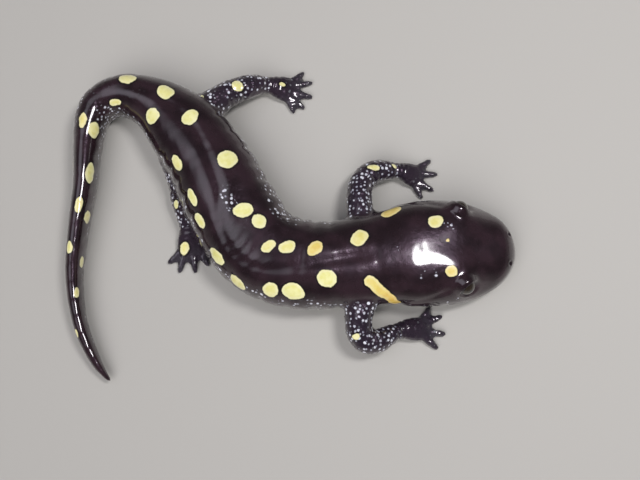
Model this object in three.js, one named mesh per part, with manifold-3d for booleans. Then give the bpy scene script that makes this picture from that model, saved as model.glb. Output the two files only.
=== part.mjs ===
// Spotted salamander (Ambystoma maculatum), a still, life-size museum model.
// Millimetres, +Z up, head toward +X.  The belly, the four feet and the tail lie on the floor at z = 0.
// The body is one tapering form along a bent back line, parted by thin cuts into head, neck, trunk,
// pelvis and tail.  Each leg is a tapering form of its own, parted at the elbow or knee and at the wrist
// or ankle.
import * as THREE from 'three';
import { mergeVertices } from 'three/addons/utils/BufferGeometryUtils.js';
import Module from 'manifold-3d';

const wasm = await Module();
wasm.setup();

// ---------------------------------------------------------------- driving dimensions

const TOTAL_LENGTH = 170;         // snout to tail tip, along the back
const SNOUT_LENGTH = 13;          // the snout is half an ellipse this long, seen from above
const SNOUT_TIP = 3.5;            // length over which the snout closes in height
const TAIL_TIP = 9;               // length over which the tail closes to its tip
const END_CAP = 0.03;             // the outermost ring's distance from the snout and from the tail tip
const CUT = 0.3;                  // width of every parting cut
const EYE_DISTANCE = 12;          // eye centre behind the snout
const EYE_OFFSET = 7.7;           // eye centre from the midline
const EYE_HEIGHT = 9.1;           // eye centre above the floor
const EYE_RADIUS = 2.0;
const SOCKET_GAP = 0.2;
const PALM_HEIGHT = 0.95;         // middle of the palm above the floor
const KNUCKLE_SETBACK = 1.4;      // how far inside the palm's front edge a digit starts
const KNUCKLE_SPREAD = 0.72;      // share of the palm's half width that the knuckles are spread over
const DIGIT_ROOT_RADIUS = 0.95;
const DIGIT_TIP_RADIUS = 0.6;
const SQUARENESS = 0.93;          // of the body's section: 1 is an ellipse, less has fuller corners
const CROWDING = 1.6;             // how strongly rings crowd toward the snout and the tail tip

// The back line seen from above, snout to tail tip: straight through the head and chest, a turn to the
// left in the trunk, a tight turn at the tail's root and a slack curl at its tip.
const BACK_LINE = [
  [47.3, -7.5], [39.3, -7.5], [31.3, -7.9], [22.3, -8.9], [11.3, -10.5], [2.2, -10.5], [-6.1, -7.3],
  [-12.2, 1.6], [-17.2, 11.3], [-22.7, 18.9], [-29.7, 25], [-36.7, 27.2], [-42.3, 24.4], [-43.9, 17.6],
  [-44, 6.6], [-45, -3.4], [-45.3, -13.4], [-43.5, -22.9], [-39.7, -30.9], [-34.5, -36.9],
];

// Cross-sections: distance behind the snout, half width, lowest level, level of the widest point and
// highest level.  A lowest level under the floor is cut off there, which leaves a flat to rest on.
const SECTIONS = [
  { at: 0, half: 10.4, low: 1.8, wide: 4.3, high: 7.7 },
  { at: 6, half: 10.4, low: 1.4, wide: 4.5, high: 9.5 },
  { at: 13, half: 10.7, low: 1.1, wide: 4.9, high: 11.2 },
  { at: 20, half: 10.8, low: 1.0, wide: 5.3, high: 12.4 },
  { at: 25, half: 10.5, low: 0.8, wide: 5.5, high: 12.6 },
  { at: 31, half: 9.5, low: 0.2, wide: 5.7, high: 12.7 },
  { at: 38, half: 9.1, low: -0.6, wide: 6.0, high: 13.1 },
  { at: 46, half: 9.5, low: -0.9, wide: 6.2, high: 13.5 },
  { at: 60, half: 9.7, low: -1.0, wide: 6.2, high: 13.8 },
  { at: 72, half: 9.2, low: -0.9, wide: 6.2, high: 13.7 },
  { at: 80, half: 8.4, low: -0.7, wide: 6.0, high: 13.0 },
  { at: 86, half: 7.8, low: -0.5, wide: 5.8, high: 12.2 },
  { at: 92, half: 6.6, low: -0.4, wide: 5.5, high: 11.3 },
  { at: 98, half: 5.3, low: -0.3, wide: 5.1, high: 10.5 },
  { at: 106, half: 4.2, low: -0.3, wide: 4.7, high: 9.8 },
  { at: 116, half: 3.2, low: -0.3, wide: 4.4, high: 9.2 },
  { at: 128, half: 2.4, low: -0.3, wide: 4.0, high: 8.4 },
  { at: 142, half: 2.0, low: -0.2, wide: 3.3, high: 7.0 },
  { at: 156, half: 1.5, low: -0.2, wide: 2.5, high: 5.2 },
  { at: 170, half: 1.1, low: -0.1, wide: 1.6, high: 3.4 },
];

// Soft swellings and hollows of the body: distance behind the snout, angle up from the side, reach
// along the back, reach round the body in degrees, and height (negative for a hollow).
const SWELLINGS = {
  brow: { at: 12.6, angle: 54, reach: 2.8, spread: 17, height: 0.9 },
  nose: { at: 2.8, angle: 36, reach: 1.8, spread: 20, height: 0.25 },
  cheekHollow: { at: 6.6, angle: 30, reach: 2.2, spread: 16, height: -0.45 },
  jawMuscle: { at: 17.5, angle: 4, reach: 4.2, spread: 24, height: 0.45 },
  parotoid: { at: 21.5, angle: 42, reach: 4.0, spread: 17, height: 0.7 },
  crownDome: { at: 18.5, angle: 90, reach: 5.5, spread: 26, height: 0.5 },
  throatFold: { at: 26, angle: -25, reach: 1.5, spread: 40, height: -0.35 },
  shoulderBlade: { at: 33.5, angle: 35, reach: 3.6, spread: 24, height: 0.5 },
  haunch: { at: 86, angle: 25, reach: 4.2, spread: 26, height: 0.5 },
};
const BACK_GROOVE = { from: 28, to: 96, fade: 8, spread: 9, depth: 0.4 };

// The lengths that the body is parted into, snout to tail tip, with the rings along each and the points
// round each ring.
const BODY_PIECES = [
  { name: 'head', from: 0, to: 21, rings: 24, around: 34 },
  { name: 'neck', from: 21, to: 29.5, rings: 7, around: 26 },
  { name: 'trunk_front', from: 29.5, to: 45, rings: 9, around: 24 },
  { name: 'trunk_middle', from: 45, to: 60, rings: 10, around: 24 },
  { name: 'trunk_rear', from: 60, to: 77, rings: 9, around: 24 },
  { name: 'pelvis', from: 77, to: 93, rings: 9, around: 24 },
  { name: 'tail_base', from: 93, to: 105.5, rings: 9, around: 20 },
  { name: 'tail_bend', from: 105.5, to: 116, rings: 8, around: 16 },
  { name: 'tail_middle', from: 116, to: 143, rings: 12, around: 14 },
  { name: 'tail_tip', from: 143, to: 170, rings: 15, around: 12 },
];

// Legs: the root inside the body, the elbow or knee, the wrist or ankle, and the tip of the longest
// digit, each as x, y, z.
const LEGS = [
  {
    name: 'front_left', upper: 'upper_arm', lower: 'forearm', end: 'hand', side: 1,
    root: [16.5, -5.9, 6.3], bend: [13.4, 8.8, 5.6], wrist: [23.2, 10.8, 2.5], tip: [31.9, 9.1, 0.6],
  },
  {
    name: 'front_right', upper: 'upper_arm', lower: 'forearm', end: 'hand', side: -1,
    root: [16.1, -14.9, 6.3], bend: [13.1, -28.2, 5.6], wrist: [22.7, -23.9, 2.5], tip: [32.7, -22.9, 0.6],
  },
  {
    name: 'hind_left', upper: 'thigh', lower: 'shank', end: 'foot', side: 1,
    root: [-21.5, 20.4, 6.0], bend: [-13.1, 28.5, 5.4], wrist: [-5.3, 30.8, 2.5], tip: [4.7, 29.2, 0.6],
  },
  {
    name: 'hind_right', upper: 'thigh', lower: 'shank', end: 'foot', side: -1,
    root: [-26.1, 17.6, 5.4], bend: [-23.9, 8.4, 3.6], wrist: [-21.9, -1.7, 2.3], tip: [-20.8, -11.6, 0.6],
  },
];

// A leg's path has five points: root, two that round off the bend, wrist and palm.  It is parted at
// these shares of the path.
const ROUNDED_BEND = 0.36;
const BEND_SHARE = 0.375;
const WRIST_SHARE = 0.75;

// Sections along a leg: share of the path, half width and half height.
const LEG_SECTIONS = {
  hand: [
    { at: 0, half: 3.3, tall: 3.3 },
    { at: 0.2, half: 3.0, tall: 3.1 },
    { at: BEND_SHARE, half: 2.75, tall: 2.8 },
    { at: 0.56, half: 2.5, tall: 2.5 },
    { at: WRIST_SHARE, half: 1.85, tall: 1.65 },
    { at: 0.92, half: 2.6, tall: 1.25 },
    { at: 1, half: 2.3, tall: 0.85 },
  ],
  foot: [
    { at: 0, half: 3.8, tall: 3.8 },
    { at: 0.2, half: 3.5, tall: 3.6 },
    { at: BEND_SHARE, half: 2.9, tall: 3.0 },
    { at: 0.56, half: 2.5, tall: 2.5 },
    { at: WRIST_SHARE, half: 1.95, tall: 1.75 },
    { at: 0.92, half: 2.9, tall: 1.3 },
    { at: 1, half: 2.6, tall: 0.85 },
  ],
};

// Digits, from the innermost (nearest the midline) outward: turn from the palm's direction in degrees,
// and length past the palm.
const DIGITS = {
  hand: [
    { turn: 52, length: 2.9 },
    { turn: 19, length: 4.3 },
    { turn: -12, length: 4.4 },
    { turn: -46, length: 3.2 },
  ],
  foot: [
    { turn: 58, length: 2.7 },
    { turn: 29, length: 4.1 },
    { turn: 4, length: 4.9 },
    { turn: -22, length: 4.7 },
    { turn: -52, length: 3.3 },
  ],
};

const LEG_AROUND = 11;
const DIGIT_AROUND = 6;
const DIGIT_RINGS = [0, 0.55, 0.85, 0.98];

// ---------------------------------------------------------------- materials

const skin = () => new THREE.MeshStandardMaterial({ color: 0x2b2430, roughness: 0.28, metalness: 0 });
const eye = () => new THREE.MeshStandardMaterial({ color: 0x0b0a0c, roughness: 0.06, metalness: 0 });

// ---------------------------------------------------------------- shape tools

// Value of a named field at a place in a table, by a smooth curve through the rows.
function smooth(table, field, at) {
  const last = table.length - 1;
  const x = THREE.MathUtils.clamp(at, table[0].at, table[last].at);
  let i = 0;
  while (i < last - 1 && x > table[i + 1].at) i += 1;
  const slope = (k) => {
    const a = table[Math.max(k - 1, 0)];
    const b = table[Math.min(k + 1, last)];
    return (b[field] - a[field]) / (b.at - a.at);
  };
  const span = table[i + 1].at - table[i].at;
  const t = (x - table[i].at) / span;
  const rise = t * t * (3 - 2 * t);
  const leave = t * (1 - t) * (1 - t);
  const arrive = t * t * (t - 1);
  return table[i][field] * (1 - rise) + table[i + 1][field] * rise
    + span * (slope(i) * leave + slope(i + 1) * arrive);
}

// Share of full size near a rounded end: 0 at the end and 1 from `length` on, as an ellipse.
function roundedEnd(distance, length) {
  const t = Math.min(Math.max(distance, 0) / length, 1);
  return Math.sqrt(1 - (1 - t) ** 2);
}

// cos or sin of an angle raised to the section's squareness, keeping its sign.
const squared = (value) => Math.sign(value) * Math.abs(value) ** SQUARENESS;
const bell = (x, reach) => Math.exp(-0.5 * (x / reach) ** 2);

// Upright frame for a ring across a path.
function ringFrame(direction) {
  const up = new THREE.Vector3(0, 0, 1).addScaledVector(direction, -direction.z).normalize();
  const side = new THREE.Vector3().crossVectors(direction, up);
  return { up, side };
}

// A closed form through rings of equal point count, with a flat cap on each end.
function loft(rings) {
  const around = rings[0].length;
  const middle = (ring) => ring.reduce((sum, p) => sum.add(p), new THREE.Vector3()).divideScalar(around);
  const points = rings.flat();
  const first = points.push(middle(rings[0])) - 1;
  const final = points.push(middle(rings.at(-1))) - 1;
  const faces = [];
  for (let j = 0; j < around; j += 1) {
    const next = (j + 1) % around;
    for (let i = 0; i < rings.length - 1; i += 1) {
      const a = i * around;
      const b = a + around;
      faces.push(a + j, b + j, b + next, a + j, b + next, a + next);
    }
    const end = (rings.length - 1) * around;
    faces.push(first, j, next, final, end + next, end + j);
  }
  const geometry = new THREE.BufferGeometry().setFromPoints(points);
  geometry.setIndex(faces);
  return geometry;
}

// A closed three.js geometry as a solid that can be cut and joined.
function solidOf(geometry) {
  const bare = geometry.clone();
  bare.deleteAttribute('normal');
  bare.deleteAttribute('uv');
  const merged = mergeVertices(bare, 1e-4);
  return new wasm.Manifold(new wasm.Mesh({
    numProp: 3,
    vertProperties: new Float32Array(merged.attributes.position.array),
    triVerts: new Uint32Array(merged.index.array),
  }));
}

function geometryOf(solid) {
  const { vertProperties, triVerts } = solid.getMesh();
  const geometry = new THREE.BufferGeometry();
  geometry.setAttribute('position', new THREE.BufferAttribute(new Float32Array(vertProperties), 3));
  geometry.setIndex(new THREE.BufferAttribute(new Uint32Array(triVerts), 1));
  return geometry;
}

// The biggest of the separate bodies that a cut leaves, lowered onto the floor as a flat.
function biggest(solid) {
  const bodies = solid.decompose().sort((a, b) => b.volume() - a.volume());
  return bodies[0].trimByPlane([0, 0, 1], 0);
}

// ---------------------------------------------------------------- body

const backLine = new THREE.CatmullRomCurve3(
  BACK_LINE.map(([x, y]) => new THREE.Vector3(x, y, 0)), false, 'catmullrom', 0.5);
backLine.arcLengthDivisions = 1000;
const backLength = backLine.getLength();
const onBack = (distance) => distance / backLength;

// Height of the soft relief over the plain section.
function relief(distance, degrees) {
  const angle = degrees > 90 ? 180 - degrees : degrees;
  let height = 0;
  for (const swelling of Object.values(SWELLINGS)) {
    height += swelling.height * bell(distance - swelling.at, swelling.reach)
      * bell(angle - swelling.angle, swelling.spread);
  }
  const { from, to, fade, spread, depth } = BACK_GROOVE;
  const start = THREE.MathUtils.smoothstep(distance, from, from + fade);
  const stop = 1 - THREE.MathUtils.smoothstep(distance, to - fade, to);
  return height - depth * start * stop * bell(angle - 90, spread);
}

// One ring across the back line.  `grow` pushes it out evenly, for cutting a neighbour clear of it.
function bodyRing(distance, around, grow) {
  const centre = backLine.getPointAt(onBack(distance));
  const { side } = ringFrame(backLine.getTangentAt(onBack(distance)));
  const tailClosing = roundedEnd(TOTAL_LENGTH - distance, TAIL_TIP);
  const closing = roundedEnd(distance, SNOUT_TIP) * tailClosing;
  const half = smooth(SECTIONS, 'half', distance) * roundedEnd(distance, SNOUT_LENGTH) * tailClosing;
  const wide = smooth(SECTIONS, 'wide', distance);
  const above = (smooth(SECTIONS, 'high', distance) - wide) * closing;
  const below = (wide - smooth(SECTIONS, 'low', distance)) * closing;
  const ring = [];
  for (let k = 0; k < around; k += 1) {
    const turn = 2 * Math.PI * k / around;
    const degrees = THREE.MathUtils.radToDeg(turn);
    const out = grow + relief(distance, degrees > 270 ? degrees - 360 : degrees) * closing;
    const across = squared(Math.cos(turn)) * (half + out);
    const rise = squared(Math.sin(turn)) * ((turn < Math.PI ? above : below) + out);
    const p = centre.clone().addScaledVector(side, across);
    p.z = Math.max(wide + rise, -grow);
    ring.push(p);
  }
  return ring;
}

// A length of the body.  Rings crowd toward a rounded end, so that the snout and tail tip stay smooth.
function bodyLength({ from, to, rings, around }, grow = 0) {
  const start = from === 0 ? END_CAP : from + CUT / 2;
  const stop = to === TOTAL_LENGTH ? TOTAL_LENGTH - END_CAP : to - CUT / 2;
  const list = [];
  for (let i = 0; i < rings; i += 1) {
    let t = i / (rings - 1);
    if (from === 0) t **= CROWDING;
    if (to === TOTAL_LENGTH) t = 1 - (1 - t) ** CROWDING;
    list.push(bodyRing(start + (stop - start) * t, around, grow));
  }
  return loft(list);
}

// ---------------------------------------------------------------- eyes

function eyeCentre(sideSign) {
  const centre = backLine.getPointAt(onBack(EYE_DISTANCE));
  const { side } = ringFrame(backLine.getTangentAt(onBack(EYE_DISTANCE)));
  centre.addScaledVector(side, sideSign * EYE_OFFSET);
  centre.z = EYE_HEIGHT;
  return centre;
}

function ball(radius, centre) {
  const geometry = new THREE.SphereGeometry(radius, 14, 9);
  geometry.translate(centre.x, centre.y, centre.z);
  return geometry;
}

// ---------------------------------------------------------------- legs

// The leg's path from its root in the body to the front of the palm.
function legPath({ root, bend, wrist, tip, end }) {
  const at = (p) => new THREE.Vector3(...p);
  const longest = Math.max(...DIGITS[end].map((d) => d.length));
  const reach = at(tip).sub(at(wrist));
  const palm = at(wrist).addScaledVector(reach, 1 - longest / reach.length());
  palm.z = PALM_HEIGHT;
  const elbowIn = at(bend).lerp(at(root), ROUNDED_BEND);
  const elbowOut = at(bend).lerp(at(wrist), ROUNDED_BEND);
  return new THREE.CatmullRomCurve3([at(root), elbowIn, elbowOut, at(wrist), palm], false, 'centripetal');
}

function legLength(path, sections, from, to, rings) {
  const list = [];
  for (let i = 0; i < rings; i += 1) {
    const t = from + (to - from) * i / (rings - 1);
    const centre = path.getPoint(t);
    const { up, side } = ringFrame(path.getTangent(t));
    const half = smooth(sections, 'half', t);
    const tall = smooth(sections, 'tall', t);
    const ring = [];
    for (let k = 0; k < LEG_AROUND; k += 1) {
      const turn = 2 * Math.PI * k / LEG_AROUND;
      ring.push(centre.clone().addScaledVector(side, Math.cos(turn) * half)
        .addScaledVector(up, Math.sin(turn) * tall));
    }
    list.push(ring);
  }
  return loft(list);
}

// One digit: a tapering finger with a rounded tip that lies flat on the floor.  The digits leave the
// palm side by side and fan out from there.
function digit(path, { turn, length }, palmHalf, sideSign) {
  const forward = path.getTangentAt(1).setZ(0).normalize();
  const bend = -THREE.MathUtils.degToRad(turn) * sideSign;
  const heading = forward.clone().applyAxisAngle(new THREE.Vector3(0, 0, 1), bend);
  const { side } = ringFrame(forward);
  const knuckle = path.getPointAt(1).addScaledVector(forward, -KNUCKLE_SETBACK * Math.cos(bend))
    .addScaledVector(side, -KNUCKLE_SPREAD * palmHalf * Math.sin(bend));
  const end = knuckle.clone().addScaledVector(heading, length + KNUCKLE_SETBACK);
  end.z = DIGIT_TIP_RADIUS * 0.8;
  const across = ringFrame(heading).side;
  const list = [];
  for (const t of DIGIT_RINGS) {
    const centre = knuckle.clone().lerp(end, t);
    const radius = THREE.MathUtils.lerp(DIGIT_ROOT_RADIUS, DIGIT_TIP_RADIUS, t)
      * roundedEnd((1 - t) * length, DIGIT_TIP_RADIUS * 1.3);
    const ring = [];
    for (let k = 0; k < DIGIT_AROUND; k += 1) {
      const angle = 2 * Math.PI * k / DIGIT_AROUND;
      const p = centre.clone().addScaledVector(across, Math.cos(angle) * radius);
      p.z += Math.sin(angle) * radius;
      ring.push(p);
    }
    list.push(ring);
  }
  return loft(list);
}

// The three pieces of a leg, each clear of the next and of the body.
function legPieces(leg, body) {
  const path = legPath(leg);
  const sections = LEG_SECTIONS[leg.end];
  const halfCut = (share) => {
    const step = 0.01;
    const travel = path.getPoint(share + step).distanceTo(path.getPoint(share - step));
    return CUT * step / travel;
  };
  const bendCut = halfCut(BEND_SHARE);
  const wristCut = halfCut(WRIST_SHARE);
  const upper = legLength(path, sections, 0, BEND_SHARE - bendCut, 8);
  const lower = legLength(path, sections, BEND_SHARE + bendCut, WRIST_SHARE - wristCut, 7);
  let end = solidOf(legLength(path, sections, WRIST_SHARE + wristCut, 1, 5));
  for (const each of DIGITS[leg.end]) {
    end = end.add(solidOf(digit(path, each, sections.at(-1).half, leg.side)));
  }
  return {
    upper: biggest(solidOf(upper).subtract(body)),
    lower: biggest(solidOf(lower).subtract(body)),
    end: biggest(end),
  };
}

// ---------------------------------------------------------------- assembly

const salamander = new THREE.Group();
salamander.name = 'spotted_salamander';

function place(name, geometry, material) {
  const mesh = new THREE.Mesh(geometry, material);
  mesh.name = name;
  salamander.add(mesh);
}

const eyes = { left: eyeCentre(1), right: eyeCentre(-1) };
for (const piece of BODY_PIECES) {
  let solid = solidOf(bodyLength(piece));
  if (piece.name === 'head') {
    for (const centre of Object.values(eyes)) {
      solid = solid.subtract(solidOf(ball(EYE_RADIUS + SOCKET_GAP, centre)));
    }
  }
  place(piece.name, geometryOf(solid), skin());
}
for (const [sideName, centre] of Object.entries(eyes)) {
  place(`eye_${sideName}`, ball(EYE_RADIUS, centre), eye());
}

const cutter = solidOf(bodyLength({ from: 0, to: TOTAL_LENGTH, rings: 110, around: 30 }, CUT));
for (const leg of LEGS) {
  const pieces = legPieces(leg, cutter);
  place(`${leg.name}_${leg.upper}`, geometryOf(pieces.upper), skin());
  place(`${leg.name}_${leg.lower}`, geometryOf(pieces.lower), skin());
  place(`${leg.name}_${leg.end}`, geometryOf(pieces.end), skin());
}

// The origin goes to the middle of the model's footprint, on the floor.
const extent = new THREE.Box3().setFromObject(salamander);
const middle = extent.getCenter(new THREE.Vector3());
salamander.position.set(-middle.x, -middle.y, -extent.min.z);

export default salamander;
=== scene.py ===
from math import cos, pi, radians, sin

import bpy
import numpy as np
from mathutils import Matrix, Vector, noise
from mathutils.bvhtree import BVHTree


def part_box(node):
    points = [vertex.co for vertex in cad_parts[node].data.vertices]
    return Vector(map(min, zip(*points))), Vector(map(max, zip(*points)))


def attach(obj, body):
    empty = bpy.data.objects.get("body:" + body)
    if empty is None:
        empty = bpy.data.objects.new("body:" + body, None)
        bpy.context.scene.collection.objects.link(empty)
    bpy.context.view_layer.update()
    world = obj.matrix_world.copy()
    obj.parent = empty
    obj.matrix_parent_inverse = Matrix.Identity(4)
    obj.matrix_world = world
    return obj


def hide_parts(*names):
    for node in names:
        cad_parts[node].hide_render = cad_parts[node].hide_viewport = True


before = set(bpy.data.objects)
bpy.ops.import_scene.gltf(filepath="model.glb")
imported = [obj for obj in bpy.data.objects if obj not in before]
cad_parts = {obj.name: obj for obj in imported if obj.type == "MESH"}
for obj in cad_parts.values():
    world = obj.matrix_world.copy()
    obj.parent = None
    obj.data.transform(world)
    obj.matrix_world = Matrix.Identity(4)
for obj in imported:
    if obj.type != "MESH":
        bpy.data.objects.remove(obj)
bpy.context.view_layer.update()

# ---------- camera
# The camera looks down on the animal's back from just in front of its right side, close enough that
# the body fills the width.  It has no roll, no shift and no depth of field.
MM = 0.001  # sizes are given in millimetres, and this turns them into metres
AIM = Vector((6.33, -5.58, 6.0)) * MM
DISTANCE = 180 * MM
ELEVATION = radians(77)
FOCAL_LENGTH = 48.44
NEAREST_SEEN = 10 * MM

scene = bpy.context.scene
bpy.ops.object.camera_add(
    location=AIM + DISTANCE * Vector((0, -cos(ELEVATION), sin(ELEVATION))),
    rotation=(pi / 2 - ELEVATION, 0, 0))
scene.camera = bpy.context.object
scene.camera.data.lens = FOCAL_LENGTH
scene.camera.data.clip_start = NEAREST_SEEN
scene.view_settings.view_transform = "Standard"

# ---------- studio floor
# The animal lies on a plain, pale, matt floor, one flat square with a painted finish.  It belongs to
# the studio and is left out of the model.
FLOOR_SIZE = 3  # metres
FLOOR_FINISH = {"Base Color": (0.50, 0.48, 0.455, 1), "Roughness": 0.7}


def new_material(name, finish):
    """A new material with plain values on its shader's sockets, and its shader and node tree."""
    material = bpy.data.materials.new(name)
    material.use_nodes = True
    shader = material.node_tree.nodes["Principled BSDF"]
    for socket, value in finish.items():
        shader.inputs[socket].default_value = value
    return material, shader, material.node_tree


bpy.ops.mesh.primitive_plane_add(size=FLOOR_SIZE)
floor = bpy.context.object
floor.name = "studio_floor"
floor.data.materials.append(new_material("studio_floor_paint", FLOOR_FINISH)[0])

# ---------- studio light
# A small oval lamp hangs nearly overhead, where the wet crown mirrors it as one bright patch.  A wide
# sun that gloss doesn't mirror fills the shadows, and a soft glow high in the dim sky, over the tail's
# side, leaves a sheen along the body's bend.
CROWN = Vector((28.1, -10.0, 12)) * MM
LAMP_WAY = Vector((0.31, 0.13, 1.0))  # from the crown
LAMP_DISTANCE = 360 * MM
LAMP_WIDTH = 78 * MM
LAMP_DEPTH = 115 * MM
LAMP_WATTS = 0.64
SUN_TURN = (radians(40), 0, radians(-25))
SUN_STRENGTH = 1.75
SUN_SPREAD = radians(50)
SKY_LOW = (0.27, 0.265, 0.255, 1)
SKY_HIGH = (0.082, 0.082, 0.090, 1)
SKY_CHANGE = 0.5  # where the high colour is reached, from 0 at level to 1 overhead
GLOW_WAY = Vector((-0.42, 0.10, 0.90)).normalized()
GLOW_EDGE = 0.90  # where the glow ends, as the cosine of the angle from its middle
GLOW_STRENGTH = 15  # times as bright in its middle as the rest of the sky


def add(tree, kind, inputs=None, **settings):
    """Adds a node, sets it up, and fills its inputs with values or with other nodes' outputs."""
    made = tree.nodes.new(kind)
    for name, value in settings.items():
        setattr(made, name, value)
    for key, value in (inputs or {}).items():
        if isinstance(value, bpy.types.NodeSocket):
            tree.links.new(value, made.inputs[key])
        else:
            made.inputs[key].default_value = value
    return made


bpy.ops.object.light_add(type="AREA", location=CROWN + LAMP_WAY.normalized() * LAMP_DISTANCE)
lamp = bpy.context.object
lamp.name = "overhead_lamp"
lamp.rotation_euler = LAMP_WAY.to_track_quat("Z", "Y").to_euler()
lamp.data.shape = "ELLIPSE"
lamp.data.size = LAMP_WIDTH
lamp.data.size_y = LAMP_DEPTH
lamp.data.energy = LAMP_WATTS

bpy.ops.object.light_add(type="SUN", rotation=SUN_TURN)
fill_lamp = bpy.context.object
fill_lamp.name = "fill_lamp"
fill_lamp.data.energy = SUN_STRENGTH
fill_lamp.data.angle = SUN_SPREAD
fill_lamp.visible_glossy = False

sky = bpy.data.worlds.new("studio_sky")
sky.use_nodes = True
sky_tree = sky.node_tree
sky_way = add(sky_tree, "ShaderNodeTexCoord").outputs["Generated"]
sky_height = add(sky_tree, "ShaderNodeSeparateXYZ", {0: sky_way}).outputs["Z"]
sky_shade = add(sky_tree, "ShaderNodeValToRGB", {"Fac": sky_height})
sky_shade.color_ramp.interpolation = "EASE"
sky_shade.color_ramp.elements[0].color = SKY_LOW
sky_shade.color_ramp.elements[1].position = SKY_CHANGE
sky_shade.color_ramp.elements[1].color = SKY_HIGH
near_glow = add(sky_tree, "ShaderNodeVectorMath", {0: sky_way, 1: GLOW_WAY}, operation="DOT_PRODUCT")
glow_range = {
    "Value": near_glow.outputs["Value"], "From Min": GLOW_EDGE, "To Min": 1, "To Max": GLOW_STRENGTH,
}
glow = add(sky_tree, "ShaderNodeMapRange", glow_range, interpolation_type="SMOOTHSTEP")
background = sky_tree.nodes["Background"]
sky_tree.links.new(sky_shade.outputs["Color"], background.inputs["Color"])
sky_tree.links.new(glow.outputs["Result"], background.inputs["Strength"])
scene.world = sky

# ---------- skin: form
# One wet skin over the whole animal, from the snout to the tail tip and out to every digit.  It is
# grown from copies of the solids, which are rounded, swollen until they fuse and then drawn back again.
EYE_NODES = {"eye_left": 1, "eye_right": -1}  # 1 on the body's left and -1 on its right
ENDS_OF_LEGS = ("hand", "foot")  # these are round enough as they are
SAME_POINT = 0.001 * MM
QUAD_TURN = radians(40)  # how unlike two triangles may be that make one quad
QUAD_SKEW = radians(60)
SHARP = radians(50)  # edges that turn more than this stay sharp when a solid is rounded
ROUNDINGS = 2
SWELL = 0.30  # how far the solids are swollen to fuse across their cuts
VOXEL = 0.46  # size of the fused skin's faces, which are halved later where they need it


def select_only(obj):
    bpy.ops.object.select_all(action="DESELECT")
    obj.select_set(True)
    bpy.context.view_layer.objects.active = obj


def start_editing(obj, choice="SELECT"):
    """Opens one mesh for editing, with all of it selected or none."""
    select_only(obj)
    bpy.ops.object.mode_set(mode="EDIT")
    bpy.ops.mesh.select_all(action=choice)


def stop_editing():
    bpy.ops.object.mode_set(mode="OBJECT")


parts = sorted(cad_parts)
copies = []
for index, name in enumerate(parts):
    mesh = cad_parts[name].data.copy()
    mesh.materials.clear()
    label = mesh.attributes.new("part", "INT", "FACE")
    label.data.foreach_set("value", [index] * len(mesh.polygons))
    solid = bpy.data.objects.new("form_" + name, mesh)
    scene.collection.objects.link(solid)
    copies.append(solid)

for solid in copies:
    start_editing(solid)
    bpy.ops.mesh.remove_doubles(threshold=SAME_POINT)
    if not solid.name.endswith(ENDS_OF_LEGS):
        bpy.ops.mesh.tris_convert_to_quads(face_threshold=QUAD_TURN, shape_threshold=QUAD_SKEW)
        bpy.ops.mesh.select_all(action="DESELECT")
        bpy.ops.mesh.select_mode(type="EDGE")
        bpy.ops.mesh.edges_select_sharp(sharpness=SHARP)
        bpy.ops.transform.edge_crease(value=1)
        bpy.ops.mesh.select_mode(type="VERT")
    stop_editing()
    if not solid.name.endswith(ENDS_OF_LEGS):
        rounding = solid.modifiers.new("rounding", "SUBSURF")
        rounding.levels = rounding.render_levels = ROUNDINGS
        bpy.ops.object.modifier_apply(modifier=rounding.name)

for solid in copies:
    solid.select_set(True)
bpy.context.view_layer.objects.active = copies[0]
bpy.ops.object.join()
skin = bpy.context.object
skin.name = "salamander_skin"
skin.data.name = "salamander_skin"
if skin.data.has_custom_normals:
    bpy.ops.mesh.customdata_custom_splitnormals_clear()


def surface_of(mesh):
    """A mesh's surface as it is now, to be searched and hit by rays."""
    return BVHTree.FromPolygons(
        [v.co.copy() for v in mesh.vertices], [tuple(p.vertices) for p in mesh.polygons])


plain_form = surface_of(skin.data)
part_of_face = np.zeros(len(skin.data.polygons), int)
skin.data.attributes["part"].data.foreach_get("value", part_of_face)

start_editing(skin)
bpy.ops.transform.shrink_fatten(value=SWELL * MM, use_even_offset=False)
stop_editing()
fusing = skin.modifiers.new("fusing", "REMESH")
fusing.mode = "VOXEL"
fusing.voxel_size = VOXEL * MM
bpy.ops.object.modifier_apply(modifier=fusing.name)


def keep_largest_shell(obj):
    """Drops the small shells that fusing leaves shut up inside the form."""
    start_editing(obj)
    bpy.ops.mesh.separate(type="LOOSE")
    stop_editing()
    shells = sorted(bpy.context.selected_objects, key=lambda o: len(o.data.vertices))
    for shell in shells[:-1]:
        bpy.data.objects.remove(shell)
    return shells[-1]


skin = keep_largest_shell(skin)
skin.name = "salamander_skin"

# ---------- skin: guide lines
# The back line runs from the snout to the tail tip.  Each leg's line runs from its root inside the body
# over the elbow or knee and the wrist or ankle to the palm.  Folds and markings are placed along them.
CENTRING = np.array([0.033, -0.183])  # from the part's modelling frame to its own origin
BACK_LINE = [
    (47.3, -7.5), (39.3, -7.5), (31.3, -7.9), (22.3, -8.9), (11.3, -10.5), (2.2, -10.5), (-6.1, -7.3),
    (-12.2, 1.6), (-17.2, 11.3), (-22.7, 18.9), (-29.7, 25), (-36.7, 27.2), (-42.3, 24.4), (-43.9, 17.6),
    (-44, 6.6), (-45, -3.4), (-45.3, -13.4), (-43.5, -22.9), (-39.7, -30.9), (-34.5, -36.9),
]
BACK_STEPS = 40  # samples between one place and the next
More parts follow.
